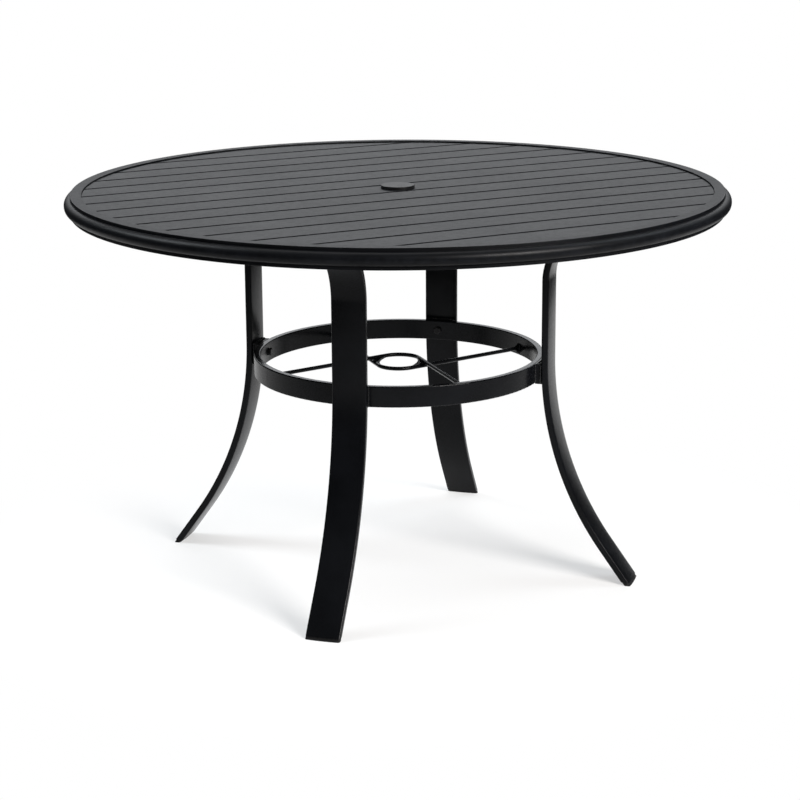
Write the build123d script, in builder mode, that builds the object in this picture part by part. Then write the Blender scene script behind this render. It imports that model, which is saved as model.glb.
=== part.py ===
"""Round slat-top patio table with four bent legs, a tie hoop and an umbrella hole.

Millimetres, +Z up, origin on the floor under the middle, +X along the slats.
"""
import os
from math import cos, radians, sin, sqrt, tan

from build123d import *

os.makedirs("parts", exist_ok=True)

# Overall size: widest rim diameter and height of the flat rim band
top_diameter = 1219.2
table_height = 723.9

# Clearances
seat_gap = 0.3
slat_end_gap = 0.4
weld_gap = 0.2

# Rim section: flat band, step, bullnose and plain lip, with a ledge for the slats
rim_h = 36.4
band_w = 20.5
nose_reach = 11.6
nose_root = 0.4
step_h = 6.4
nose_h = 23.2
band_edge_r = 0.8
skirt_wall = 5.6
ledge_w = 18.0
ledge_t = 4.0

# Slats: open channels with a middle rib, let in below the rim band
slat_count = 15
slat_gap = 4.4
side_gap = 4.5
slat_recess = 3.0
slat_h = 10.0
slat_skin = 2.0
slat_flange = 2.0
slat_edge_r = 0.4

# Rails below the slats
rail_w = 40.0
rail_h = 20.0
rail_wall = 2.0

# Umbrella hole bushing, rebated at the top for its loose cap
pole_bore_r = 22.0
rebate_step = 1.2
rebate_spare = 1.0
sleeve_wall = 3.2
sleeve_l = 36.0
flange_r = 31.0
flange_t = 2.6
cap_t = 2.8
cap_edge_r = 1.2
cap_plug_l = 9.0
cap_plug_wall = 2.0

# Tie hoop: rectangular tube rolled to a ring
hoop_r = 271.6
hoop_w = 12.0
hoop_h = 38.0
hoop_wall = 1.8
hoop_edge_r = 2.0
hoop_top_z = 412.0

# Legs: flat tube, upright in the middle, swept out at the foot and flared at the top
leg_w = 63.5
leg_t = 11.2
leg_crown = 1.2
leg_wall = 2.0
leg_edge_r = 3.0
spacer_t = 11.2
knee_z = 415.0
sweep_r = 590.0
sweep_a = 36.0
flare_drop = 119.9
flare_r = 110.0
flare_a = 48.0
glide_h = 6.0
glide_plug_l = 22.0

# Leg plates under the rails
plate_t = 5.0
plate_side = 2.0
plate_corner_r = 6.0
plate_bolt_off = 36.0

# Spacers between hoop and legs
spacer_side = 4.0
spacer_wall = 2.0

# Hex bolts, both sets
bolt_r = 4.0
bolt_af = 13.0
bolt_head_h = 5.3
hoop_bolt_end = 4.0
plate_bolt_l = 16.0

# Pole guides: two bent rods that cross and leave a round eye
rod_d = 7.5
eye_r = 40.0
arm_tilt = 8.0
tab_h = 19.0
tab_t = 4.0
tab_free = 8.0
tab_end = 0.8
rod_drop = 2.0

# Levels and radii that follow from the sizes above
rim_r = top_diameter / 2
band_out_r = rim_r - nose_reach
rim_in_r = band_out_r - band_w
nose_root_r = band_out_r + nose_root
skirt_in_r = band_out_r - skirt_wall
ledge_in_r = rim_in_r - ledge_w
slat_top_z = table_height - slat_recess
ledge_z = slat_top_z - slat_h
ledge_low_z = ledge_z - ledge_t
step_z = table_height - step_h
nose_low_z = step_z - nose_h
rim_low_z = table_height - rim_h
slat_pitch = (2 * rim_in_r - 2 * side_gap + slat_gap) / slat_count
slat_w = slat_pitch - slat_gap
slat_trim_r = rim_in_r - slat_end_gap
rail_low_z = ledge_z - rail_h
plate_z = rail_low_z - plate_t
hoop_in_r = hoop_r - hoop_w
hoop_low_z = hoop_top_z - hoop_h
hoop_mid_z = hoop_top_z - hoop_h / 2
leg_in_r = hoop_r + spacer_t
leg_r = leg_in_r + leg_t / 2
leg_side_t = leg_t / 2 - leg_crown
crown_r = (leg_w**2 / 4 + leg_crown**2) / (2 * leg_crown)
hollow_w = leg_w - 2 * leg_wall
hollow_t = leg_t - 2 * (leg_wall + leg_crown)
foot_r = leg_r + sweep_r * (1 - cos(radians(sweep_a)))
foot_z = knee_z - sweep_r * sin(radians(sweep_a))
flare_z = plate_z - flare_drop
neck_r = leg_r + flare_r * (1 - cos(radians(flare_a)))
neck_z = flare_z + flare_r * sin(radians(flare_a))
leg_top_r = neck_r + (plate_z - neck_z) * tan(radians(flare_a))
rail_x = leg_top_r * cos(radians(45))
sleeve_r = pole_bore_r + sleeve_wall
rebate_r = pole_bore_r + rebate_step
cap_z = slat_top_z + flange_t + seat_gap
rod_rise = (rod_d + seat_gap) / 2
rod_z = hoop_mid_z - rod_drop

corners = {"front_left": 225, "front_right": 315, "back_right": 45, "back_left": 135}


def outward(angle):
    """Unit vector from the table axis towards a leg."""
    return Vector(cos(radians(angle)), sin(radians(angle)), 0)


def side_plane(angle):
    """Upright plane through the table axis: local X outward, local Y up."""
    out = outward(angle)
    return Plane(origin=(0, 0, 0), x_dir=out, z_dir=out.cross(Vector(0, 0, 1)))


def save(piece, name):
    """Name a piece and write it to its own file."""
    piece.part.label = name
    export_step(piece.part, f"parts/{name}.step")


# Rim: one bent profile, welded to a full circle
with BuildPart() as rim_frame:
    with BuildSketch(Plane.XZ) as rim_section:
        with BuildLine():
            Polyline(
                (nose_root_r, step_z),
                (band_out_r, step_z),
                (band_out_r, table_height),
                (rim_in_r, table_height),
                (rim_in_r, ledge_z),
                (ledge_in_r, ledge_z),
                (ledge_in_r, ledge_low_z),
                (skirt_in_r, ledge_low_z),
                (skirt_in_r, rim_low_z),
                (nose_root_r, rim_low_z),
                (nose_root_r, nose_low_z),
            )
            ThreePointArc(
                (nose_root_r, nose_low_z),
                (rim_r, step_z - nose_h / 2),
                (nose_root_r, step_z),
            )
        make_face()
        fillet(rim_section.vertices().group_by(Axis.Y)[-1], band_edge_r)
    revolve(axis=Axis.Z)
save(rim_frame, "rim_frame")


# Slats: equal channels along X, ends trimmed to the rim
def make_slat(y_mid, has_hole):
    """One slat with its middle line at y_mid."""
    pocket_w = (slat_w - 3 * slat_flange) / 2
    pocket_h = slat_h - slat_skin
    pocket_off = (pocket_w + slat_flange) / 2
    with BuildPart() as slat:
        with BuildSketch(Plane.YZ) as section:
            with Locations((y_mid, slat_top_z - slat_h / 2)):
                Rectangle(slat_w, slat_h)
            fillet(section.vertices().group_by(Axis.Y)[-1], slat_edge_r)
            with Locations(
                (y_mid - pocket_off, ledge_z + pocket_h / 2),
                (y_mid + pocket_off, ledge_z + pocket_h / 2),
            ):
                Rectangle(pocket_w, pocket_h, mode=Mode.SUBTRACT)
        extrude(amount=rim_in_r, both=True)
        with BuildSketch(Plane.XY.offset(ledge_z)):
            Circle(slat_trim_r)
        extrude(amount=slat_h, mode=Mode.INTERSECT)
        if has_hole:
            with BuildSketch(Plane.XY.offset(ledge_z)):
                Circle(sleeve_r + seat_gap)
            extrude(amount=slat_h, mode=Mode.SUBTRACT)
    return slat


for number in range(slat_count):
    offset_y = (number - (slat_count - 1) / 2) * slat_pitch
    save(make_slat(offset_y, abs(offset_y) < slat_pitch / 2), f"slat_{number + 1:02d}")


# Rails: tubes across the slats, coped to sit under the rim ledge
def make_rail(x_mid):
    """One rail with its middle line at x_mid."""
    with BuildPart() as rail:
        with BuildSketch(Plane.XZ):
            with Locations((x_mid, ledge_z - rail_h / 2)):
                Rectangle(rail_w, rail_h)
                Rectangle(rail_w - 2 * rail_wall, rail_h - 2 * rail_wall, mode=Mode.SUBTRACT)
        extrude(amount=rim_r, both=True)
        with BuildSketch(Plane.XY.offset(rail_low_z)):
            Circle(skirt_in_r - seat_gap)
        extrude(amount=rail_h, mode=Mode.INTERSECT)
        with BuildSketch(Plane.XY.offset(ledge_low_z)):
            Circle(rim_r)
            Circle(ledge_in_r - seat_gap, mode=Mode.SUBTRACT)
        extrude(amount=ledge_t, mode=Mode.SUBTRACT)
        with BuildSketch(Plane.XY.offset(rail_low_z)):
            with Locations(
                (x_mid, rail_x + plate_bolt_off),
                (x_mid, rail_x - plate_bolt_off),
                (x_mid, -rail_x + plate_bolt_off),
                (x_mid, -rail_x - plate_bolt_off),
            ):
                Circle(bolt_r + seat_gap)
        extrude(amount=rail_wall, mode=Mode.SUBTRACT)
    return rail


save(make_rail(-rail_x), "cross_rail_left")
save(make_rail(rail_x), "cross_rail_right")

# Umbrella bushing: flange on the centre slat, sleeve down through it, rebate for the cap
with BuildPart() as umbrella_ring:
    with BuildSketch(Plane.XY.offset(slat_top_z)):
        Circle(flange_r)
    extrude(amount=flange_t)
    fillet(umbrella_ring.edges().group_by(Axis.Z)[-1], cap_edge_r / 2)
    with BuildSketch(Plane.XY.offset(slat_top_z)):
        Circle(sleeve_r)
    extrude(amount=-sleeve_l)
    with BuildSketch(Plane.XY.offset(slat_top_z + flange_t)):
        Circle(pole_bore_r)
    extrude(amount=-(sleeve_l + flange_t), mode=Mode.SUBTRACT)
    with BuildSketch(Plane.XY.offset(slat_top_z + flange_t)):
        Circle(rebate_r)
    extrude(amount=-(cap_plug_l + rebate_spare), mode=Mode.SUBTRACT)
save(umbrella_ring, "umbrella_ring")

# Umbrella cap: loose lid with a plug skirt that drops into the bushing
with BuildPart() as umbrella_cap:
    with BuildSketch(Plane.XY.offset(cap_z)):
        Circle(flange_r)
    extrude(amount=cap_t)
    fillet(umbrella_cap.edges().group_by(Axis.Z)[-1], cap_edge_r)
    with BuildSketch(Plane.XY.offset(cap_z)):
        Circle(rebate_r - seat_gap)
        Circle(rebate_r - seat_gap - cap_plug_wall, mode=Mode.SUBTRACT)
    extrude(amount=-cap_plug_l)
save(umbrella_cap, "umbrella_cap")


# Leg section: flat oval with slightly crowned faces, shared by legs and glides
with BuildSketch() as leg_section:
    with BuildLine():
        ThreePointArc((-leg_w / 2, leg_side_t), (0, leg_t / 2), (leg_w / 2, leg_side_t))
        Line((leg_w / 2, leg_side_t), (leg_w / 2, -leg_side_t))
        ThreePointArc((leg_w / 2, -leg_side_t), (0, -leg_t / 2), (-leg_w / 2, -leg_side_t))
        Line((-leg_w / 2, -leg_side_t), (-leg_w / 2, leg_side_t))
    make_face()
    fillet(leg_section.vertices(), leg_edge_r)


# Legs: one hollow section swept along line, arc, line, arc, line
def make_leg(angle):
    """One leg in the upright plane at this angle, cut level at foot and top."""
    side = side_plane(angle)
    low = glide_h + foot_z
    foot_end = (foot_r + low * tan(radians(sweep_a)), foot_z - low)
    rise = plate_t + plate_z - neck_z
    top_end = (neck_r + rise * tan(radians(flare_a)), neck_z + rise)
    with BuildPart() as leg:
        with BuildLine(side) as run:
            Line(foot_end, (foot_r, foot_z))
            ThreePointArc(
                (foot_r, foot_z),
                (
                    leg_r + sweep_r * (1 - cos(radians(sweep_a / 2))),
                    knee_z - sweep_r * sin(radians(sweep_a / 2)),
                ),
                (leg_r, knee_z),
            )
            Line((leg_r, knee_z), (leg_r, flare_z))
            ThreePointArc(
                (leg_r, flare_z),
                (
                    leg_r + flare_r * (1 - cos(radians(flare_a / 2))),
                    flare_z + flare_r * sin(radians(flare_a / 2)),
                ),
                (neck_r, neck_z),
            )
            Line((neck_r, neck_z), top_end)
        path = run.wires()[0]
        with BuildSketch(Plane(origin=path @ 0, x_dir=side.z_dir, z_dir=path % 0)):
            add(leg_section.sketch_local)
            Rectangle(hollow_w, hollow_t, mode=Mode.SUBTRACT)
        sweep(path=path)
        split(bisect_by=Plane.XY.offset(glide_h), keep=Keep.TOP)
        split(bisect_by=Plane.XY.offset(plate_z), keep=Keep.BOTTOM)
        hole_at = outward(angle) * leg_in_r + Vector(0, 0, hoop_mid_z)
        with BuildSketch(Plane(origin=hole_at, z_dir=outward(angle))):
            Circle(bolt_r + seat_gap)
        extrude(amount=leg_wall * 2, both=True, mode=Mode.SUBTRACT)
    return leg


# Foot glides: level pads in line with the leg, with a plug up into the tube
def make_glide(angle):
    """One glide under the leg at this angle."""
    side = side_plane(angle)
    up = outward(angle) * -sin(radians(sweep_a)) + Vector(0, 0, cos(radians(sweep_a)))
    run = (foot_z - glide_h) * tan(radians(sweep_a))
    seat = side.from_local_coords((foot_r + run, glide_h))
    pad = Plane(origin=seat, x_dir=side.z_dir, z_dir=up)
    with BuildPart() as glide:
        with BuildSketch(pad):
            add(leg_section.sketch_local)
        extrude(amount=leg_t + 2 * glide_h, both=True)
        split(bisect_by=Plane.XY, keep=Keep.TOP)
        split(bisect_by=Plane.XY.offset(glide_h), keep=Keep.BOTTOM)
        with BuildSketch(pad):
            Rectangle(hollow_w - 2 * seat_gap, hollow_t - 2 * seat_gap)
        extrude(amount=glide_plug_l)
    return glide


# Leg plates: flat plates welded on the leg tops and bolted under the rails
def make_plate(angle):
    """One plate over the top of the leg at this angle."""
    x_mid = leg_top_r * cos(radians(angle))
    y_mid = leg_top_r * sin(radians(angle))
    with BuildPart() as plate:
        with BuildSketch(Plane.XY.offset(plate_z)):
            with Locations((x_mid, y_mid)):
                RectangleRounded(
                    leg_w + 2 * plate_side,
                    2 * (plate_bolt_off + bolt_af),
                    plate_corner_r,
                )
            with Locations((x_mid, y_mid - plate_bolt_off), (x_mid, y_mid + plate_bolt_off)):
                Circle(bolt_r + seat_gap, mode=Mode.SUBTRACT)
        extrude(amount=plate_t)
    return plate


# Hoop spacers: short upright tubes, shaped to the hoop on one side and to the leg on the other
def make_spacer(angle):
    """One spacer between the hoop and the leg at this angle."""
    plan = Plane(origin=(0, 0, hoop_low_z), x_dir=outward(angle), z_dir=(0, 0, 1))
    hoop_face = hoop_r + seat_gap
    spacer_w = leg_w - 2 * spacer_side
    with BuildPart() as spacer:
        with BuildSketch(plan):
            with Locations((leg_in_r + leg_crown - spacer_t, 0)):
                Rectangle(2 * spacer_t, spacer_w)
            Circle(hoop_face, mode=Mode.SUBTRACT)
            with Locations((leg_in_r + crown_r, 0)):
                Circle(crown_r + weld_gap, mode=Mode.SUBTRACT)
        extrude(amount=hoop_h)
        with BuildSketch(plan):
            with Locations((leg_in_r - spacer_wall - spacer_t, 0)):
                Rectangle(2 * spacer_t, spacer_w - 2 * spacer_wall)
            Circle(hoop_face + spacer_wall, mode=Mode.SUBTRACT)
        extrude(amount=hoop_h, mode=Mode.SUBTRACT)
        hole_at = outward(angle) * leg_in_r + Vector(0, 0, hoop_mid_z)
        with BuildSketch(Plane(origin=hole_at, z_dir=outward(angle))):
            Circle(bolt_r + seat_gap)
        extrude(amount=-2 * spacer_t, mode=Mode.SUBTRACT)
    return spacer


for corner, corner_angle in corners.items():
    save(make_leg(corner_angle), f"leg_{corner}")
    save(make_glide(corner_angle), f"foot_glide_{corner}")
    save(make_plate(corner_angle), f"leg_plate_{corner}")
    save(make_spacer(corner_angle), f"hoop_spacer_{corner}")

# Pole guide layout in the plane of one rod: two arms tangent to the eye
tilt_c = cos(radians(arm_tilt))
tilt_s = sin(radians(arm_tilt))
arm_l = sqrt((hoop_in_r - tab_free) ** 2 - eye_r**2)
tab_l = sqrt((hoop_r - tab_end) ** 2 - eye_r**2) - arm_l
touch = (-eye_r * tilt_s, eye_r * tilt_c)
eye_mid = (eye_r * cos(radians(45)), eye_r * sin(radians(45)))
arm_end = (touch[0] - arm_l * tilt_c, touch[1] - arm_l * tilt_s)
touch_mirror = touch[::-1]
arm_end_mirror = arm_end[::-1]

lower_rod_plane = Plane(origin=(0, 0, rod_z - rod_rise), x_dir=(-1, 0, 0), z_dir=(0, 0, 1))
upper_rod_plane = Plane(origin=(0, 0, rod_z + rod_rise), x_dir=(1, 0, 0), z_dir=(0, 0, 1))


def tab_planes(rod_plane):
    """Planes across the two rod ends, facing the hoop, local Y up or down."""
    planes = []
    for inner, end in ((touch, arm_end), (touch_mirror, arm_end_mirror)):
        base = rod_plane.from_local_coords(end)
        face = base - rod_plane.from_local_coords(inner)
        planes.append(Plane(origin=base, x_dir=face.cross(Vector(0, 0, 1)), z_dir=face))
    return planes


# Tie hoop: tube ring with bolt holes at the legs and slots for the rod tabs
with BuildPart() as hoop:
    with BuildSketch(Plane.XZ):
        with Locations((hoop_r - hoop_w / 2, hoop_mid_z)):
            RectangleRounded(hoop_w, hoop_h, hoop_edge_r)
            Rectangle(hoop_w - 2 * hoop_wall, hoop_h - 2 * hoop_wall, mode=Mode.SUBTRACT)
    revolve(axis=Axis.Z)
    for corner_angle in corners.values():
        hole_at = outward(corner_angle) * hoop_r + Vector(0, 0, hoop_mid_z)
        with BuildSketch(Plane(origin=hole_at, z_dir=outward(corner_angle))):
            Circle(bolt_r + seat_gap)
        extrude(amount=hoop_w * 1.5, both=True, mode=Mode.SUBTRACT)
    for rod_plane in (lower_rod_plane, upper_rod_plane):
        for tab_plane in tab_planes(rod_plane):
            with BuildSketch(tab_plane):
                Rectangle(tab_t + 2 * weld_gap, tab_h + 2 * weld_gap)
            extrude(amount=tab_l + hoop_w, mode=Mode.SUBTRACT)
save(hoop, "hoop")


# Pole guides: round rod bent about the pole, ends flattened to upright tabs
def make_rod(rod_plane):
    """One guide rod lying in this plane."""
    with BuildPart() as rod:
        with BuildLine(rod_plane) as run:
            Line(arm_end, touch)
            ThreePointArc(touch, eye_mid, touch_mirror)
            Line(touch_mirror, arm_end_mirror)
        path = run.wires()[0]
        with BuildSketch(Plane(origin=path @ 0, z_dir=path % 0)):
            Circle(rod_d / 2)
        sweep(path=path)
        for tab_plane in tab_planes(rod_plane):
            with BuildSketch(tab_plane):
                Rectangle(tab_t, tab_h)
            extrude(amount=tab_l)
    return rod


save(make_rod(lower_rod_plane), "pole_guide_lower")
save(make_rod(upper_rod_plane), "pole_guide_upper")

# Hoop bolts: heads inside the hoop, shanks through hoop and spacer into the legs
with BuildPart() as hoop_bolts:
    for corner_angle in corners.values():
        out = outward(corner_angle)
        seat_at = out * (hoop_in_r - seat_gap) + Vector(0, 0, hoop_mid_z)
        with BuildSketch(Plane(origin=seat_at, x_dir=(0, 0, 1), z_dir=-out)):
            RegularPolygon(bolt_af / 2, 6, major_radius=False)
        extrude(amount=bolt_head_h)
        with BuildSketch(Plane(origin=seat_at, z_dir=out)):
            Circle(bolt_r)
        extrude(amount=hoop_w + seat_gap + spacer_t + leg_wall + hoop_bolt_end)
save(hoop_bolts, "hoop_bolts")

# Leg plate bolts: heads under the plates, shanks up into the rails
with BuildPart() as leg_plate_bolts:
    for corner_angle in corners.values():
        for step in (-plate_bolt_off, plate_bolt_off):
            bolt_x = leg_top_r * cos(radians(corner_angle))
            bolt_y = leg_top_r * sin(radians(corner_angle)) + step
            with BuildSketch(Plane(origin=(bolt_x, bolt_y, plate_z))):
                RegularPolygon(bolt_af / 2, 6, major_radius=False)
            extrude(amount=-bolt_head_h)
            with BuildSketch(Plane(origin=(bolt_x, bolt_y, plate_z))):
                Circle(bolt_r)
            extrude(amount=plate_bolt_l)
save(leg_plate_bolts, "leg_plate_bolts")
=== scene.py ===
from math import atan2, cos, pi, radians, sin, sqrt, tan

import bpy
from mathutils import Euler, Matrix, Vector


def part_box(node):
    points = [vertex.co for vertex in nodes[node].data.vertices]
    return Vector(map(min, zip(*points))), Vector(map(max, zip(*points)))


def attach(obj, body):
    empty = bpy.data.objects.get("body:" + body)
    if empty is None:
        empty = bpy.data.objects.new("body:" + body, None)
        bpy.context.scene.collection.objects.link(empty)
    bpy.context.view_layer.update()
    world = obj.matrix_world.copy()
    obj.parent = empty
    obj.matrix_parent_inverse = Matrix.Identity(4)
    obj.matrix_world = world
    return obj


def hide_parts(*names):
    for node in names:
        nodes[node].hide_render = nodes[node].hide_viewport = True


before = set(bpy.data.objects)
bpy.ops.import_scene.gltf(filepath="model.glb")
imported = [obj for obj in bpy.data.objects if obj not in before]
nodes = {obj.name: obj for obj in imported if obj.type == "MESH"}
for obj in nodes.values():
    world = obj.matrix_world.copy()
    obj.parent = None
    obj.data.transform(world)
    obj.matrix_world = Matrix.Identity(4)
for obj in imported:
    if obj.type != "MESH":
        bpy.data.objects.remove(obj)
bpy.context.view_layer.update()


# Rim: one aluminium profile with a flat band, a bullnose and a ledge for the slats, rolled to
# a circle and butt-welded. The whole frame is then coated with baked satin black powder,
# which leaves a fine orange-peel skin.
class Val:
    """One socket of a node tree; arithmetic on it adds Math nodes."""

    def __init__(self, tree, socket=None):
        self.tree = tree
        self.socket = socket

    def node(self, kind, settings=(), inputs=(), output=0):
        """Add a node: its settings first, then the values or links of its sockets."""
        made = self.tree.nodes.new(kind)
        for name, value in dict(settings).items():
            setattr(made, name, value)
        for name, value in dict(inputs).items():
            if isinstance(value, Val):
                self.tree.links.new(value.socket, made.inputs[name])
            else:
                made.inputs[name].default_value = value
        return Val(self.tree, made.outputs[output] if made.outputs else None)

    def math(self, operation, *terms):
        """Math node on numbers or links."""
        return self.node("ShaderNodeMath", {"operation": operation}, enumerate(terms))

    def __add__(self, other):
        return self.math("ADD", self, other)

    def __sub__(self, other):
        return self.math("SUBTRACT", self, other)

    def __rsub__(self, other):
        return self.math("SUBTRACT", other, self)

    def __mul__(self, other):
        return self.math("MULTIPLY", self, other)

    def __truediv__(self, other):
        return self.math("DIVIDE", self, other)

    def __rtruediv__(self, other):
        return self.math("DIVIDE", other, self)

    __radd__ = __add__
    __rmul__ = __mul__

    def ramp(self, start, end, low=0.0, high=1.0):
        """Smooth step from low to high as the value goes from start to end."""
        return self.node(
            "ShaderNodeMapRange",
            {"interpolation_type": "SMOOTHSTEP"},
            {"Value": self, "From Min": start, "From Max": end, "To Min": low, "To Max": high},
        )

    def swing(self, size):
        """What a noise adds when it goes up as often as down."""
        return (self - 0.5) * size

    def tint(self, first, second):
        """Colour between two colours, which may be links; this value is the second's share."""
        pair = [c if isinstance(c, Val) else tuple(c) + (1.0,) for c in (first, second)]
        return self.node(
            "ShaderNodeMix", {"data_type": "RGBA"}, {0: self, 6: pair[0], 7: pair[1]}, output=2
        )

    def noise(self, scale, detail=2.0):
        """Noise over this place."""
        return self.node(
            "ShaderNodeTexNoise",
            inputs={"Vector": self, "Scale": scale, "Detail": detail},
            output="Fac",
        )

    def split(self):
        """The three numbers of this vector."""
        parts = self.node("ShaderNodeSeparateXYZ", inputs={0: self})
        return [Val(self.tree, out) for out in parts.socket.node.outputs]

    def from_axis(self):
        """Distance of this place from the table's upright axis."""
        x, y, _ = self.split()
        return self.math("SQRT", x * x + y * y)

    def scaled(self, factor):
        """This vector times a number."""
        return self.node(
            "ShaderNodeVectorMath", {"operation": "SCALE"}, {0: self, "Scale": factor}
        )

    def named(self, label, kind="FLOAT"):
        """What the points of the shape carry under this name."""
        return self.node("GeometryNodeInputNamedAttribute", {"data_type": kind}, {"Name": label})


def new_finish(name, shine):
    """New material with one specular level all over; gives it and the place on the piece."""
    material = bpy.data.materials.new(name)
    material.use_nodes = True
    shader = material.node_tree.nodes["Principled BSDF"]
    shader.inputs["Specular IOR Level"].default_value = shine
    return material, Val(material.node_tree).node("ShaderNodeTexCoord", output="Object")


def lay_on(material, tone, gloss, height, strength, depth):
    """Link a finish's colour, roughness and raised skin to its shader."""
    tree = material.node_tree
    shader = tree.nodes["Principled BSDF"]
    skin = height.node(
        "ShaderNodeBump", inputs={"Height": height, "Strength": strength, "Distance": depth}
    )
    for socket, value in (("Base Color", tone), ("Roughness", gloss), ("Normal", skin)):
        tree.links.new(value.socket, shader.inputs[socket])
    return material


def shade(colour, share):
    """A colour made darker or lighter by this share."""
    return [part * share for part in colour]


def coat(name, black, rough, rubbed=None, uneven=None, dulled=None, shine=0.08):
    """Baked powder coat: fine skin, cloudy gloss, dust on level faces, rubbed places lighter."""
    dark_tone, light_tone, batch_tone, rubbed_tone = 0.72, 1.28, 1.9, 3.4
    dust_grey = (0.17, 0.165, 0.155)
    dust_cover, rubbed_cover = 0.012, 0.5
    cloud_gloss, patch_gloss, grain_gloss = 0.09, 0.05, 0.06
    dust_gloss, rubbed_gloss = 0.05, 0.10
    peel_share = 0.7
    skin_strength, skin_depth = 0.55, 0.00022

    material, place = new_finish(name, shine)
    cloud = place.noise(scale=11.0, detail=5.0)
    patch = place.noise(scale=3.1, detail=3.0)
    peel = place.noise(scale=520.0)
    grain = place.noise(scale=1900.0, detail=1.0)
    upward = place.node("ShaderNodeNewGeometry", output="Normal").split()[2]
    dust = upward.ramp(0.75, 0.98) * place.noise(scale=90.0, detail=6.0).ramp(0.35, 0.75)
    tone = cloud.ramp(0.3, 0.7).tint(shade(black, dark_tone), shade(black, light_tone))
    if uneven:
        tone = uneven(place).tint(tone, shade(black, batch_tone))
    tone = (dust * dust_cover).tint(tone, dust_grey)
    gloss = rough + cloud.swing(cloud_gloss) + patch.swing(patch_gloss)
    gloss = gloss + grain.swing(grain_gloss) + dust * dust_gloss
    if rubbed:
        worn = rubbed(place) * place.noise(scale=85.0, detail=4.0).ramp(0.35, 0.7)
        tone = (worn * rubbed_cover).tint(tone, shade(black, rubbed_tone))
        gloss = gloss - worn * rubbed_gloss
    if dulled:
        gloss = gloss + dulled(place)
    height = peel * peel_share + grain * (1 - peel_share)
    return lay_on(material, tone, gloss, height, skin_strength, skin_depth)


def new_tree(name, sizes):
    """Empty Geometry Nodes tree with named inputs; gives the inputs by name."""
    tree = bpy.data.node_groups.new(name, "GeometryNodeTree")
    tree.interface.new_socket("Geometry", in_out="INPUT", socket_type="NodeSocketGeometry")
    for label, kind in sizes.items():
        tree.interface.new_socket(label, in_out="INPUT", socket_type="NodeSocket" + kind)
    tree.interface.new_socket("Geometry", in_out="OUTPUT", socket_type="NodeSocketGeometry")
    entry = tree.nodes.new("NodeGroupInput")
    return {out.name: Val(tree, out) for out in entry.outputs if out.name}


def end_tree(shape, finish):
    """Close a tree: realize, shade smooth up to sharp edges, set the material and send it out."""
    sharp_turn = 0.6
    whole = shape.node("GeometryNodeRealizeInstances", inputs={"Geometry": shape})
    smooth = shape.node(
        "GeometryNodeSetShadeSmooth", inputs={"Geometry": whole, "Shade Smooth": True}
    )
    turn = shape.node("GeometryNodeInputMeshEdgeAngle", output="Unsigned Angle")
    sharp = shape.math("GREATER_THAN", turn, sharp_turn)
    shaded = shape.node(
        "GeometryNodeSetShadeSmooth",
        {"domain": "EDGE"},
        {"Geometry": smooth, "Selection": sharp, "Shade Smooth": False},
    )
    dressed = shape.node(
        "GeometryNodeSetMaterial", inputs={"Geometry": shaded, "Material": finish}
    )
    out = shape.tree.nodes.new("NodeGroupOutput")
    shape.tree.links.new(dressed.socket, out.inputs["Geometry"])
    return shape.tree


def grown(name, base, tree, values):
    """Run a tree on a base mesh and keep the result as a plain mesh object."""
    source = bpy.data.objects.new(name + "_base", base)
    bpy.context.scene.collection.objects.link(source)
    growth = source.modifiers.new("growth", "NODES")
    growth.node_group = tree
    for item in tree.interface.items_tree:
        if item.in_out == "INPUT" and item.name in values:
            growth[item.identifier] = values[item.name]
    graph = bpy.context.evaluated_depsgraph_get()
    mesh = bpy.data.meshes.new_from_object(source.evaluated_get(graph), depsgraph=graph)
    bpy.data.objects.remove(source)
    piece = bpy.data.objects.new(name, mesh)
    bpy.context.scene.collection.objects.link(piece)
    return piece


def marked_mesh(name, points, edges, marks):
    """Mesh of points and edges whose points carry named numbers or vectors."""
    mesh = bpy.data.meshes.new(name)
    mesh.from_pydata(points, edges, [])
    for label, values in marks.items():
        is_vector = hasattr(values[0], "__len__")
        layer = mesh.attributes.new(label, "FLOAT_VECTOR" if is_vector else "FLOAT", "POINT")
        for item, value in zip(layer.data, values):
            if is_vector:
                item.vector = value
            else:
                item.value = value
    return mesh


def bent_lines(given, steps):
    """Curve along the base mesh's lines, each corner bent to the radius that its point carries."""
    base = given["Geometry"]
    lines = base.node("GeometryNodeMeshToCurve", inputs={"Mesh": base})
    return base.node(
        "GeometryNodeFilletCurve",
        {"mode": "POLY"},
        {"Curve": lines, "Count": steps, "Radius": base.named("round"), "Limit Radius": True},
    )


def raised(shape, height):
    """A shape moved up by this height."""
    move = shape.node("ShaderNodeCombineXYZ", inputs={"Z": height})
    return shape.node("GeometryNodeTransform", inputs={"Geometry": shape, "Translation": move})


rim_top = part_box("rim_frame")[1].z
rim_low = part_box("rim_frame")[0].z
rim_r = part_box("rim_frame")[1].x
band_w = 0.0205
step_h = 0.0064
nose_reach = 0.0116
nose_h = 0.0232
root_out = 0.0004
skirt_t = 0.0056
ledge_w = 0.018
ledge_drop = 0.013
ledge_t = 0.004
band_round = 0.0008
step_round = 0.0004
root_round = 0.0003
lip_round = 0.0007
under_round = 0.0005
ledge_round = 0.0006
lead = 0.0016
rim_steps = 360
rim_round_steps = 10
band_r = rim_r - nose_reach
inner_r = band_r - band_w
root_r = band_r + root_out
nose_r = rim_r - root_r
step_z = rim_top - step_h
nose_low = step_z - nose_h
skirt_r = band_r - skirt_t
ledge_r = inner_r - ledge_w
ledge_z = rim_top - ledge_drop
ledge_low = ledge_z - ledge_t

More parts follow.
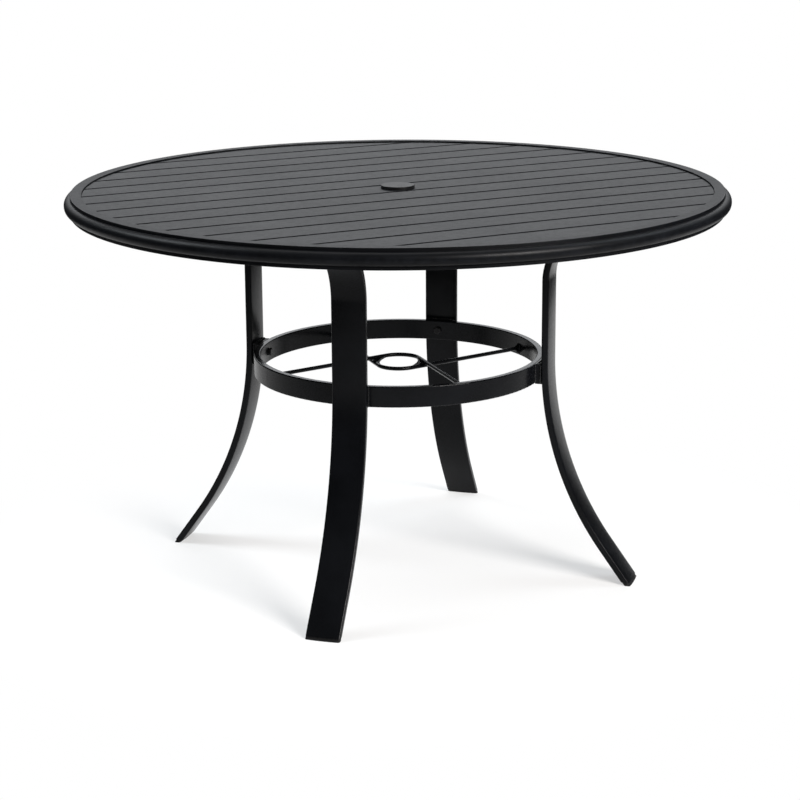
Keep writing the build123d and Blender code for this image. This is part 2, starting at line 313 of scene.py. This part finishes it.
# Radius, level and rounding of each corner; the points without rounding keep the flats flat
rim_corners = [
    (inner_r, rim_top, band_round),
    (inner_r + lead, rim_top, 0.0),
    (band_r - lead, rim_top, 0.0),
    (band_r, rim_top, band_round),
    (band_r, step_z, step_round),
    (rim_r, step_z, nose_r),
    (rim_r, nose_low, nose_r),
    (root_r, nose_low, root_round),
    (root_r, nose_low - lead, 0.0),
    (root_r, rim_low + lead, 0.0),
    (root_r, rim_low, lip_round),
    (skirt_r, rim_low, lip_round),
    (skirt_r, rim_low + lead, 0.0),
    (skirt_r, ledge_low - lead, 0.0),
    (skirt_r, ledge_low, under_round),
    (skirt_r - lead, ledge_low, 0.0),
    (ledge_r + lead, ledge_low, 0.0),
    (ledge_r, ledge_low, ledge_round),
    (ledge_r, ledge_z, ledge_round),
    (inner_r, ledge_z, step_round),
]
rim_section = marked_mesh(
    "rim_section",
    [(r - inner_r, rim_top - z, 0.0) for r, z, _ in rim_corners],
    [(i, (i + 1) % len(rim_corners)) for i in range(len(rim_corners))],
    {"round": [bend for _, _, bend in rim_corners]},
)

nose_rub_w = 0.0022
nose_rub_full = 0.0002
nose_rub_share = 0.6
edge_rub_w = 0.0014
edge_rub_h = 0.0012
edge_rub_full = 0.0004
band_dull_start = 0.0004
band_dull_full = 0.0016
band_extra_rough = 0.08


def rim_rub(place):
    """Mask on the outermost part of the bullnose and the band's outer edge."""
    out = place.from_axis()
    z = place.split()[2]
    nose = out.ramp(rim_r - nose_rub_w, rim_r - nose_rub_full)
    edge = out.ramp(band_r - edge_rub_w, band_r - edge_rub_full)
    edge = edge * z.ramp(rim_top - edge_rub_h, rim_top - edge_rub_full)
    return place.math("MAXIMUM", nose * nose_rub_share, edge)


def band_dull(place):
    """Extra roughness of the flat band, which is as dull as the slats."""
    inward = place.from_axis().ramp(band_r - band_dull_start, band_r - band_dull_full)
    return inward * band_extra_rough


coat_black = (0.0030, 0.0033, 0.0041)
rim_coat = coat("rim_coat", coat_black, rough=0.40, rubbed=rim_rub, dulled=band_dull)
given = new_tree(
    "rim_sweep",
    {"Ring Radius": "Float", "Ring Level": "Float", "Ring Steps": "Int", "Coat": "Material"},
)
profile = bent_lines(given, rim_round_steps)
ring = profile.node(
    "GeometryNodeCurvePrimitiveCircle",
    inputs={"Radius": given["Ring Radius"], "Resolution": given["Ring Steps"]},
)
swept = profile.node(
    "GeometryNodeCurveToMesh",
    inputs={"Curve": raised(ring, given["Ring Level"]), "Profile Curve": profile},
)
rim = grown(
    "rim",
    rim_section,
    end_tree(swept, given["Coat"]),
    {"Ring Radius": inner_r, "Ring Level": rim_top, "Ring Steps": rim_steps, "Coat": rim_coat},
)
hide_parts("rim_frame")
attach(rim, "table")


# Slats: fifteen equal extruded channels laid side by side, ends trimmed to the rim and
# stitched to the rails below. Each one takes the coat a little differently.
slat_names = sorted(name for name in nodes if name.startswith("slat_"))
slat_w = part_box(slat_names[0])[1].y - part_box(slat_names[0])[0].y
slat_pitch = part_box(slat_names[1])[0].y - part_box(slat_names[0])[0].y
thin_edge_w = 0.0032
thin_edge_full = 0.0012
thin_edge_rough = 0.55
batch_share = 0.35


def slat_edge(place):
    """Extra roughness along the long edges of every slat, where the coat draws thin."""
    across = place.split()[1] / slat_pitch
    from_mid = across.math("ABSOLUTE", across - across.math("ROUND", across)) * slat_pitch
    half = slat_w / 2
    return from_mid.ramp(half - thin_edge_w, half - thin_edge_full) * thin_edge_rough


def slat_batch(place):
    """One number for each slat, so that neighbours differ slightly in tone."""
    which = place.math("ROUND", place.split()[1] / slat_pitch)
    drawn = place.node(
        "ShaderNodeTexWhiteNoise", {"noise_dimensions": "1D"}, {"W": which}, "Value"
    )
    return drawn * batch_share


def dress(name, finish):
    """Give a CAD node its finish."""
    nodes[name].material_slots[0].material = finish


slat_coat = coat("slat_coat", coat_black, rough=0.46, uneven=slat_batch, dulled=slat_edge)
for name in slat_names:
    dress(name, slat_coat)


# Rails: two rectangular tubes under the slats, coped into the rim. They get the same coat,
# a little thinner and duller where the spray gun reaches less.
rail_names = ("cross_rail_left", "cross_rail_right")
rail_coat = coat("rail_coat", coat_black, rough=0.52)
for name in rail_names:
    dress(name, rail_coat)


# Umbrella bushing and cap: injection-moulded black plastic with a fine spark-eroded grain.
# The bushing drops through the centre slat and the loose cap lies in it.
def moulded(name, black, rough, grain_scale, grain_depth):
    """Moulded plastic: grained skin with a slight scuff."""
    shine = 0.11
    dark_tone, light_tone, scuff_tone = 0.8, 1.2, 2.2
    scuff_cover = 0.25
    cloud_gloss, scuff_gloss = 0.12, 0.08
    grain_strength = 0.5

    material, place = new_finish(name, shine)
    grain = place.noise(grain_scale)
    cloud = place.noise(scale=40.0, detail=4.0)
    scuff = place.noise(scale=210.0, detail=6.0).ramp(0.58, 0.75)
    tone = cloud.tint(shade(black, dark_tone), shade(black, light_tone))
    tone = (scuff * scuff_cover).tint(tone, shade(black, scuff_tone))
    gloss = rough + cloud.swing(cloud_gloss) + scuff * scuff_gloss
    return lay_on(material, tone, gloss, grain, grain_strength, grain_depth)


ring_black = (0.004, 0.004, 0.0044)
cap_black = (0.005, 0.005, 0.0055)
dress(
    "umbrella_ring",
    moulded("ring_plastic", ring_black, rough=0.46, grain_scale=1300.0, grain_depth=0.00015),
)
dress(
    "umbrella_cap",
    moulded("cap_plastic", cap_black, rough=0.43, grain_scale=1500.0, grain_depth=0.00010),
)


# Tie hoop: rectangular aluminium tube rolled to a ring and butt-welded, with a short spacer
# to each leg. It holds the four legs together at half height.
hoop_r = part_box("hoop")[1].x
hoop_w = 0.012
hoop_in_r = hoop_r - hoop_w
hoop_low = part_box("hoop")[0].z
hoop_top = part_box("hoop")[1].z
hoop_mid = (hoop_low + hoop_top) / 2
flow_start = 0.0008
flow_full = 0.0002
flow_gloss = -0.14


def hoop_flow(place):
    """Lower roughness on the level upper face, where the molten coat flows out best."""
    return place.split()[2].ramp(hoop_top - flow_start, hoop_top - flow_full) * flow_gloss


hoop_coat = coat("hoop_coat", coat_black, rough=0.25, dulled=hoop_flow, shine=0.105)
corners = {"front_left": 225, "front_right": 315, "back_right": 45, "back_left": 135}
dress("hoop", hoop_coat)
for corner in corners:
    dress("hoop_spacer_" + corner, hoop_coat)


# Legs: flat aluminium tube with slightly crowned faces, bent out at the knee and flared at
# the top. The plate welded on the top bolts under a rail, and a moulded glide closes the foot.
# The tube is drawn thicker than its solid, about the same middle line.
leg_w = 0.0635
leg_t = 0.0144
leg_solid_t = 0.0112
leg_crown = 0.0012
leg_edge = 0.003
crown_steps = 8
edge_steps = 6
spine_steps = 30
spacer_l = 0.0112
leg_r = hoop_r + spacer_l + leg_solid_t / 2
leg_face = leg_r - leg_t / 2
leg_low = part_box("leg_front_left")[0].z
leg_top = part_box("leg_front_left")[1].z
foot_lean = radians(36.0)
foot_bend = 0.590
foot_bend_top = 0.415
knee_z = foot_bend_top - foot_bend * tan(foot_lean / 2)
neck_lean = radians(48.0)
neck_bend = 0.110
neck_h = 0.1199
neck_z = leg_top - neck_h + neck_bend * tan(neck_lean / 2)


def around(angle, out, along, z):
    """Point at a leg: out from the axis, along the tangent, and up."""
    c, s = cos(radians(angle)), sin(radians(angle))
    return Vector((c * out - s * along, s * out + c * along, z))


given = new_tree(
    "leg_sweep",
    {
        "Across": "Vector",
        "Foot Run": "Vector",
        "Foot Level": "Float",
        "Top Run": "Vector",
        "Top Level": "Float",
        "Coat": "Material",
    },
)
in_section = given["Geometry"].named("section")
bent = bent_lines(given, spine_steps - in_section * (spine_steps - edge_steps))
section = bent.node(
    "GeometryNodeSeparateGeometry",
    {"domain": "CURVE"},
    {"Geometry": bent, "Selection": in_section},
)
spine = Val(bent.tree, section.socket.node.outputs["Inverted"])
facing = bent.node(
    "GeometryNodeSetCurveNormal", {"mode": "FREE"}, {"Curve": spine, "Normal": given["Across"]}
)
swept = bent.node(
    "GeometryNodeCurveToMesh",
    inputs={"Curve": facing, "Profile Curve": section, "Fill Caps": True},
)
for end, beyond in (("Foot", "LESS_THAN"), ("Top", "GREATER_THAN")):
    run, level = given[end + " Run"], given[end + " Level"]
    z = swept.node("GeometryNodeInputPosition").split()[2]
    cut_off = swept.math(beyond, z, level)
    swept = swept.node(
        "GeometryNodeSetPosition",
        inputs={"Geometry": swept, "Selection": cut_off, "Offset": run.scaled(level - z)},
    )
leg_tree = end_tree(swept, given["Coat"])


def leg_mesh(name, angle):
    """Spine of one leg with its bend radii, and beside it the section's outline."""
    spare = 0.007
    foot_out = leg_r + (knee_z - leg_low + spare) * tan(foot_lean)
    top_out = leg_r + (leg_top + spare - neck_z) * tan(neck_lean)
    points = [
        around(angle, foot_out, 0, leg_low - spare),
        around(angle, leg_r, 0, knee_z),
        around(angle, leg_r, 0, neck_z),
        around(angle, top_out, 0, leg_top + spare),
    ]
    radii = [0.0, foot_bend, neck_bend, 0.0]
    edges = [(0, 1), (1, 2), (2, 3)]
    first = len(points)
    for side in (-1, 1):
        for step in range(crown_steps + 1):
            share = 2 * step / crown_steps - 1
            rise = leg_t / 2 - leg_crown * share**2
            points.append(Vector((-side * share * leg_w / 2, side * rise, 0)))
            radii.append(leg_edge if abs(share) == 1 else 0.0)
    count = len(points) - first
    edges += [(first + i, first + (i + 1) % count) for i in range(count)]
    marks = {"round": radii, "section": [0.0] * first + [1.0] * count}
    return marked_mesh(name + "_lines", points, edges, marks)


glide_black = (0.007, 0.007, 0.0072)
leg_coat = coat("leg_coat", coat_black, rough=0.21, shine=0.09)
plate_coat = coat("plate_coat", coat_black, rough=0.50)
glide_plastic = moulded(
    "glide_plastic", glide_black, rough=0.55, grain_scale=900.0, grain_depth=0.0002
)
for corner, angle in corners.items():
    leg = grown(
        "bent_leg_" + corner,
        leg_mesh("bent_leg_" + corner, angle),
        leg_tree,
        {
            "Across": around(angle, 0, 1, 0),
            "Foot Run": around(angle, -tan(foot_lean), 0, 1),
            "Foot Level": leg_low,
            "Top Run": around(angle, tan(neck_lean), 0, 1),
            "Top Level": leg_top,
            "Coat": leg_coat,
        },
    )
    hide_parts("leg_" + corner)
    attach(leg, "table")
    dress("leg_plate_" + corner, plate_coat)
    dress("foot_glide_" + corner, glide_plastic)


# Pole guides: two round steel rods bent about the umbrella pole, with the ends pressed flat to
# upright blades and let into the hoop. Their coat is nearly as glossy as the hoop's.
rod_r = 0.00375
rod_sides = 16
rod_step = 0.0014
rod_end_gap = 0.0008
eye_r = 0.040
eye_steps = 32
arm_tilt = radians(8.0)
blade_half_h = 0.0095
blade_half_t = 0.0020
blade_l = 0.010
blade_gap = 0.001
cross_z = hoop_mid - 0.0020
cross_half = 0.0039
rod_levels = {"upper": cross_z + cross_half, "lower": cross_z - cross_half}
rod_turns = {"upper": 1, "lower": -1}
arm_root = Vector((-eye_r * sin(arm_tilt), eye_r * cos(arm_tilt), 0))
arm_way = Vector((-cos(arm_tilt), -sin(arm_tilt), 0))

given = new_tree(
    "rod_sweep",
    {
        "Rod Radius": "Float",
        "Blade Start": "Float",
        "Blade End": "Float",
        "Blade Growth": "Vector",
        "Coat": "Material",
    },
)
bent = bent_lines(given, eye_steps)
stepped = bent.node(
    "GeometryNodeResampleCurve", {"mode": "LENGTH"}, {"Curve": bent, "Length": rod_step}
)
here = bent.node("GeometryNodeInputPosition")
spine = bent.node(
    "GeometryNodeStoreNamedAttribute",
    {"data_type": "FLOAT_VECTOR", "domain": "POINT"},
    {"Geometry": stepped, "Name": "mid", "Value": here},
)
round_rod = bent.node(
    "GeometryNodeCurvePrimitiveCircle",
    inputs={"Resolution": rod_sides, "Radius": given["Rod Radius"]},
)
swept = bent.node(
    "GeometryNodeCurveToMesh",
    inputs={"Curve": spine, "Profile Curve": round_rod, "Fill Caps": True},
)
mid = bent.named("mid", "FLOAT_VECTOR")
pressed = mid.from_axis().ramp(given["Blade Start"], given["Blade End"])
aside = bent.node("ShaderNodeVectorMath", {"operation": "SUBTRACT"}, {0: here, 1: mid})
spread = bent.node(
    "ShaderNodeVectorMath", {"operation": "MULTIPLY"}, {0: aside, 1: given["Blade Growth"]}
)
flattened = bent.node(
    "GeometryNodeSetPosition", inputs={"Geometry": swept, "Offset": spread.scaled(pressed)}
)
rod_tree = end_tree(flattened, given["Coat"])

rod_coat = coat("rod_coat", coat_black, rough=0.27, shine=0.105)
blade_end = hoop_in_r - blade_gap
squeeze = blade_half_t / rod_r - 1
rod_end = arm_root + arm_way * sqrt((hoop_r - rod_end_gap) ** 2 - eye_r**2)
bend_corner = Vector((1, 1, 0)).normalized() * (eye_r / cos(pi / 4 + arm_tilt))
for which, turn in rod_turns.items():
    lift = Vector((0, 0, rod_levels[which]))
    rod = grown(
        "bent_rod_" + which,
        marked_mesh(
            "bent_rod_" + which + "_line",
            [rod_end * turn + lift, bend_corner * turn + lift, rod_end.yxz * turn + lift],
            [(0, 1), (1, 2)],
            {"round": [0.0, eye_r, 0.0]},
        ),
        rod_tree,
        {
            "Rod Radius": rod_r,
            "Blade Start": blade_end - blade_l,
            "Blade End": blade_end,
            "Blade Growth": (squeeze, squeeze, blade_half_h / rod_r - 1),
            "Coat": rod_coat,
        },
    )
    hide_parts("pole_guide_" + which)
    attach(rod, "table")


# Bolts: zinc-plated steel hexagon bolts with a pressed washer face, blackened with the frame.
# Four hold the hoop to the legs and eight hold the leg plates under the rails.
bolt_flats = 0.013
bolt_head_h = 0.0053
bolt_shank_r = 0.0039
hoop_shank_l = 0.028
plate_shank_l = 0.015
washer_share, hex_share, crown_share = 0.16, 0.62, 0.22
crown_narrow = 0.8
washer_sides, shank_sides = 28, 16
hoop_seat = 0.0003
plate_bolt_half = 0.036
bolt_steel = coat("bolt_steel", (0.010, 0.010, 0.0105), rough=0.36)

given = new_tree(
    "bolt_set",
    {
        "Across Flats": "Float",
        "Head Height": "Float",
        "Shank Radius": "Float",
        "Shank Length": "Float",
        "Coat": "Material",
    },
)
bolt_points = given["Geometry"]
hex_r = given["Across Flats"] / sqrt(3)
washer_h = given["Head Height"] * washer_share
hex_h = given["Head Height"] * hex_share
crown_h = given["Head Height"] * crown_share
washer = bolt_points.node(
    "GeometryNodeMeshCylinder",
    inputs={"Vertices": washer_sides, "Radius": given["Across Flats"] * 0.5, "Depth": washer_h},
)
hexagon = bolt_points.node(
    "GeometryNodeMeshCylinder", inputs={"Vertices": 6, "Radius": hex_r, "Depth": hex_h}
)
crown = bolt_points.node(
    "GeometryNodeMeshCone",
    inputs={
        "Vertices": 6,
        "Radius Bottom": hex_r,
        "Radius Top": hex_r * crown_narrow,
        "Depth": crown_h,
    },
)
shank = bolt_points.node(
    "GeometryNodeMeshCylinder",
    inputs={
        "Vertices": shank_sides,
        "Radius": given["Shank Radius"],
        "Depth": given["Shank Length"],
    },
)
bolt_parts = bolt_points.node("GeometryNodeJoinGeometry")
for part in (
    raised(washer, washer_h * 0.5),
    raised(hexagon, washer_h + hex_h * 0.5),
    raised(crown, washer_h + hex_h),
    raised(shank, given["Shank Length"] * -0.5),
):
    bolt_points.tree.links.new(part.socket, bolt_parts.socket.node.inputs["Geometry"])
aimed = bolt_points.node(
    "FunctionNodeAlignRotationToVector",
    {"axis": "Z"},
    {"Vector": bolt_points.named("lean", "FLOAT_VECTOR")},
)
placed = bolt_points.node(
    "GeometryNodeInstanceOnPoints",
    inputs={"Points": bolt_points, "Instance": bolt_parts, "Rotation": aimed},
)
bolt_tree = end_tree(placed, given["Coat"])


def bolts(name, seats, leans, node, shank_length):
    """One set of bolts with the heads leaning out of their seats."""
    piece = grown(
        name,
        marked_mesh(name + "_seats", seats, [], {"lean": leans}),
        bolt_tree,
        {
            "Across Flats": bolt_flats,
            "Head Height": bolt_head_h,
            "Shank Radius": bolt_shank_r,
            "Shank Length": shank_length,
            "Coat": bolt_steel,
        },
    )
    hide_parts(node)
    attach(piece, "table")


bolts(
    "hex_bolts_hoop",
    [around(angle, hoop_in_r - hoop_seat, 0, hoop_mid) for angle in corners.values()],
    [-around(angle, 1, 0, 0) for angle in corners.values()],
    "hoop_bolts",
    hoop_shank_l,
)
plate_seats = []
for corner in corners:
    low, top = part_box("leg_plate_" + corner)
    for step in (-plate_bolt_half, plate_bolt_half):
        plate_seats.append(Vector(((low.x + top.x) / 2, (low.y + top.y) / 2 + step, low.z)))
plate_leans = [Vector((0, 0, -1))] * len(plate_seats)
bolts("hex_bolts_plates", plate_seats, plate_leans, "leg_plate_bolts", plate_shank_l)


# Welds at spacers and rods: rippled beads of aluminium filler under the coat, laid where the
# spacers meet the legs and the hoop, and where the rod ends go into the hoop.
bead_sides = 8
ripple_l = 0.0032
ripple_depth = 0.16
ripple_steps = 4
wander_half = 0.5
wander_seed = 7
bead_coat = coat("bead_coat", (0.007, 0.0073, 0.008), rough=0.24, shine=0.2)

given = new_tree(
    "bead_run",
    {
        "Bead Radius": "Float",
        "Ripple Length": "Float",
        "Ripple Depth": "Float",
        "Coat": "Material",
    },
)
bead_lines = given["Geometry"]
path = bead_lines.node("GeometryNodeMeshToCurve", inputs={"Mesh": bead_lines})
stepped = bead_lines.node(
    "GeometryNodeResampleCurve",
    {"mode": "LENGTH"},
    {"Curve": path, "Length": given["Ripple Length"] / ripple_steps},
)
gone = bead_lines.node("GeometryNodeSplineParameter", output="Length")
wander = bead_lines.node(
    "FunctionNodeRandomValue",
    {"data_type": "FLOAT"},
    {2: -wander_half, 3: wander_half, "Seed": wander_seed},
    1,
)
wave = bead_lines.math("SINE", gone * (2 * pi) / given["Ripple Length"])
swell = 1.0 + given["Ripple Depth"] * (wave + wander)
round_bead = bead_lines.node(
    "GeometryNodeCurvePrimitiveCircle",
    inputs={"Resolution": bead_sides, "Radius": given["Bead Radius"]},
)
bead = bead_lines.node(
    "GeometryNodeCurveToMesh",
    inputs={"Curve": stepped, "Profile Curve": round_bead, "Scale": swell, "Fill Caps": True},
)
bead_tree = end_tree(bead, given["Coat"])


def beads(name, runs, radius):
    """Weld beads along straight runs."""
    points = []
    edges = []
    for first, last in runs:
        edges.append((len(points), len(points) + 1))
        points += [first, last]
    piece = grown(
        name,
        marked_mesh(name + "_runs", points, edges, {}),
        bead_tree,
        {
            "Bead Radius": radius,
            "Ripple Length": ripple_l,
            "Ripple Depth": ripple_depth,
            "Coat": bead_coat,
        },
    )
    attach(piece, "table")


def upright(spot, low, top):
    """Run from one level to another over a spot in plan."""
    return Vector((spot.x, spot.y, low)), Vector((spot.x, spot.y, top))


def crosswise(angle, out, half, z):
    """Level run across a leg, with this half length."""
    return around(angle, out, -half, z), around(angle, out, half, z)


spacer_half = 0.02775
spacer_bead_r = 0.0019
side_bead_off = 0.0004
side_bead_low = 0.002
side_bead_top = 0.001
hoop_bead_off = 0.0006
leg_bead_off = 0.0008
top_bead_off = 0.0012
top_bead_drop = 0.0002
spacer_runs = []
for angle in corners.values():
    for side in (-1, 1):
        edge = side * (spacer_half + side_bead_off)
        at_hoop = sqrt(hoop_r**2 - edge**2) + hoop_bead_off
        for out in (leg_face - leg_bead_off, at_hoop):
            spot = around(angle, out, edge, 0)
            spacer_runs.append(upright(spot, hoop_low + side_bead_low, hoop_top - side_bead_top))
    spacer_runs.append(
        crosswise(angle, leg_face - top_bead_off, spacer_half, hoop_top - top_bead_drop)
    )
beads("weld_beads_spacers", spacer_runs, spacer_bead_r)

rod_bead_r = 0.0012
rod_bead_side = 0.0023
rod_bead_off = 0.0004
reach_in = sqrt(hoop_in_r**2 - eye_r**2) - rod_bead_off
reach_out = sqrt(hoop_r**2 - eye_r**2)
rod_runs = []
slot_ends = []
for which, turn in rod_turns.items():
    level = rod_levels[which]
    for root, way in ((arm_root, arm_way), (arm_root.yxz, arm_way.yxz)):
        inner = (root + way * reach_in) * turn
        slot_ends.append(((root + way * reach_out) * turn, level))
        across = Vector((-way.y, way.x, 0))
        for side in (-rod_bead_side, rod_bead_side):
            spot = inner + across * side
            rod_runs.append(upright(spot, level - blade_half_h, level + blade_half_h))
beads("weld_beads_rods", rod_runs, rod_bead_r)


# Weld fills: on the outside of the hoop each rod's slot is filled with weld and ground flush.
# Weld also fills the two corners where the rods cross, which leaves a round eye for the pole.
def on_arc(r, middle, half, steps=12):
    """Plan points on an arc about the table's axis, anticlockwise for a positive half angle."""
    turns = [middle + half * (2 * step / steps - 1) for step in range(steps + 1)]
    return [(r * cos(turned), r * sin(turned)) for turned in turns]


def weld_fills(name, blocks, finish):
    """Closed blocks, each with a plan outline, a middle level at every point and a half height."""
    points = []
    faces = []
    for outline, levels, half in blocks:
        first = len(points)
        count = len(outline)
        for way in (-half, half):
            points += [(x, y, z + way) for (x, y), z in zip(outline, levels)]
        faces.append(range(first + count - 1, first - 1, -1))
        faces.append(range(first + count, first + 2 * count))
        for near in range(count):
            far = (near + 1) % count
            faces.append((first + near, first + far, first + count + far, first + count + near))
    mesh = bpy.data.meshes.new(name + "_blocks")
    mesh.from_pydata(points, [], [tuple(face) for face in faces])
    given = new_tree(name, {"Coat": "Material"})
    piece = grown(name, mesh, end_tree(given["Geometry"], given["Coat"]), {"Coat": finish})
    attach(piece, "table")


fill_half_w = 0.0027
fill_half_h = blade_half_h + 0.0007
fill_out_r = hoop_r + 0.0001
fill_in_r = hoop_r - 0.0012
fill_half = fill_half_w / hoop_r
slot_blocks = []
for outer, level in slot_ends:
    bearing = atan2(outer.y, outer.x)
    outline = on_arc(fill_out_r, bearing, fill_half) + on_arc(fill_in_r, bearing, -fill_half)
    slot_blocks.append((outline, [level] * len(outline), fill_half_h))
weld_fills("weld_fills_hoop", slot_blocks, hoop_coat)

web_r = eye_r - rod_r
web_half = pi / 4 - arm_tilt
web_half_t = 0.0020
cross_r = eye_r / cos(web_half)
web_blocks = []
for crossing, from_rod, to_rod in ((135, "lower", "upper"), (315, "upper", "lower")):
    bearing = radians(crossing)
    edge = on_arc(web_r, bearing, -web_half)
    fall = rod_levels[to_rod] - rod_levels[from_rod]
    levels = [rod_levels[from_rod] + fall * step / (len(edge) - 1) for step in range(len(edge))]
    tip = (cross_r * cos(bearing), cross_r * sin(bearing))
    web_blocks.append((edge + [tip], levels + [rod_levels[from_rod] + fall / 2], web_half_t))
weld_fills("weld_fills_eye", web_blocks, rod_coat)


# Welds under the top: the same beads along both faces of each leg at its plate, at the rails'
# ends against the rim, and as short stitches where a slat lies on a rail.
plate_bead_r = 0.0020
plate_bead_half = 0.029
plate_bead_off = 0.0004
bead_out = leg_t / 2 / cos(neck_lean) + plate_bead_off
plate_runs = []
for corner, angle in corners.items():
    low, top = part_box("leg_plate_" + corner)
    plate_out = Vector(((low.x + top.x) / 2, (low.y + top.y) / 2, 0)).length
    for out in (plate_out - bead_out, plate_out + bead_out):
        plate_runs.append(crosswise(angle, out, plate_bead_half, low.z - plate_bead_off))
beads("weld_beads_plates", plate_runs, plate_bead_r)

rail_bead_r = 0.0016
rail_bead_off = 0.0006
rim_bead_off = 0.001
rim_bead_low = 0.001
rim_bead_top = 0.0005
stitch_half = 0.006
stitch_z = ledge_z - 0.0006
rail_runs = []
for name in rail_names:
    low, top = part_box(name)
    for x in (low.x - rail_bead_off, top.x + rail_bead_off):
        y = sqrt((skirt_r - rim_bead_off) ** 2 - x**2)
        for way in (-1, 1):
            spot = Vector((x, way * y, 0))
            rail_runs.append(upright(spot, low.z + rim_bead_low, ledge_low - rim_bead_top))
        for slat in slat_names:
            slat_low, slat_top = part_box(slat)
            slat_y = (slat_low.y + slat_top.y) / 2
            if Vector((x, abs(slat_y) + slat_pitch / 4)).length > ledge_r:
                continue
            stitch = [Vector((x, slat_y + step, stitch_z)) for step in (-stitch_half, stitch_half)]
            rail_runs.append(stitch)
beads("weld_beads_rails", rail_runs, rail_bead_r)


# Studio: a pale floor sheet that runs out to white, a bright wall behind the table, and soft
# boxes overhead, in front, at the left and at the right. The camera stands in front, to the
# left and a little above the top.
floor_reach = 2.2
floor_grey = (0.85, 0.85, 0.85, 1)
shadow_white, far_white = 0.5, 1.0
shadow_r, far_r = 0.42, 0.9
floor_mesh = bpy.data.meshes.new("floor")
floor_mesh.from_pydata(
    [(x * floor_reach, y * floor_reach, 0) for x, y in ((-1, -1), (1, -1), (1, 1), (-1, 1))],
    [],
    [(0, 1, 2, 3)],
)
floor = bpy.data.objects.new("floor", floor_mesh)
bpy.context.scene.collection.objects.link(floor)
floor_paint = bpy.data.materials.new("floor_paint")
floor_paint.use_nodes = True
floor_paint.node_tree.nodes.clear()
paint = Val(floor_paint.node_tree)
white = paint.node("ShaderNodeEmission", inputs={"Color": (1, 1, 1, 1), "Strength": 1.0})
matt = paint.node("ShaderNodeBsdfDiffuse", inputs={"Color": floor_grey})
seen = paint.node("ShaderNodeLightPath", output="Is Camera Ray")
for ray in ("Is Glossy Ray", "Is Transmission Ray"):
    seen = paint.math("MAXIMUM", seen, paint.node("ShaderNodeLightPath", output=ray))
away = paint.node("ShaderNodeTexCoord", output="Object").from_axis()
share = seen * away.ramp(shadow_r, far_r, shadow_white, far_white)
ground = paint.node("ShaderNodeMixShader", inputs={0: share, 1: matt, 2: white})
paint.node("ShaderNodeOutputMaterial", inputs={"Surface": ground})
floor_mesh.materials.append(floor_paint)

behind = (0.4646, 0.8855, 0.0)
wall_white = (0.95, 0.97, 1.0)
ceiling_glow = 0.10
world = bpy.data.worlds.new("studio")
bpy.context.scene.world = world
world.use_nodes = True
sky = world.node_tree.nodes["Background"]
toward = Val(world.node_tree).node("ShaderNodeTexCoord", output="Generated")
backness = toward.node(
    "ShaderNodeVectorMath", {"operation": "DOT_PRODUCT"}, {0: toward, 1: behind}, "Value"
)
height = toward.split()[2]
wall_glow = backness.ramp(0.70, 0.98, low=0.05, high=1.42)
wall_glow = wall_glow * height.ramp(0.08, 0.5, low=0.05, high=3.3)
glow = wall_glow + height.ramp(0.3, 0.9) * ceiling_glow
straight = toward.node("ShaderNodeLightPath", output="Is Camera Ray")
strength = toward.math("MAXIMUM", glow, straight)
colour = straight.tint(wall_white, (1, 1, 1))
world.node_tree.links.new(strength.socket, sky.inputs["Strength"])
world.node_tree.links.new(colour.socket, sky.inputs["Color"])


def soft_box(name, spot, target_z, size, power, colour=(1, 1, 1)):
    """One soft box: an area lamp of this size at spot, facing the table's axis at this level."""
    lamp = bpy.data.lights.new(name, "AREA")
    lamp.shape = "RECTANGLE"
    lamp.size, lamp.size_y = size
    lamp.energy = power
    lamp.color = colour
    holder = bpy.data.objects.new(name, lamp)
    holder.location = spot
    facing = Vector(spot) - Vector((0, 0, target_z))
    holder.rotation_euler = facing.to_track_quat("Z", "Y").to_euler()
    bpy.context.scene.collection.objects.link(holder)


warm = (1, 0.965, 0.935)
cool = (0.90, 0.96, 1)
cooler = (0.84, 0.93, 1)
soft_box("overhead", (0.5, 0.9, 4.0), target_z=0.4, size=(3.0, 3.0), power=60.0)
soft_box("front_box", (0.9, -3.77, 2.3), target_z=0.3, size=(1.7, 1.3), power=270.0, colour=warm)
soft_box("left_box", (-2.3, 1.7, 3.2), target_z=0.3, size=(1.6, 1.6), power=100.0, colour=cool)
soft_box("right_box", (2.9, -0.6, 3.4), target_z=0.3, size=(1.8, 1.8), power=46.0, colour=cooler)

view_spot = (-1.8530, -3.5405, 1.3834)
view_down = radians(14.9553)
view_turn = radians(-27.6539)
view_roll = radians(-0.3325)
camera_data = bpy.data.cameras.new("camera")
camera_data.sensor_width = 36.0
camera_data.lens = 98.499
camera = bpy.data.objects.new("camera", camera_data)
camera.location = view_spot
aim = Euler((pi / 2 - view_down, 0, view_turn)).to_matrix()
camera.rotation_euler = (aim @ Matrix.Rotation(view_roll, 3, "Z")).to_euler()
bpy.context.scene.collection.objects.link(camera)
bpy.context.scene.camera = camera
bpy.context.scene.view_settings.view_transform = "Standard"
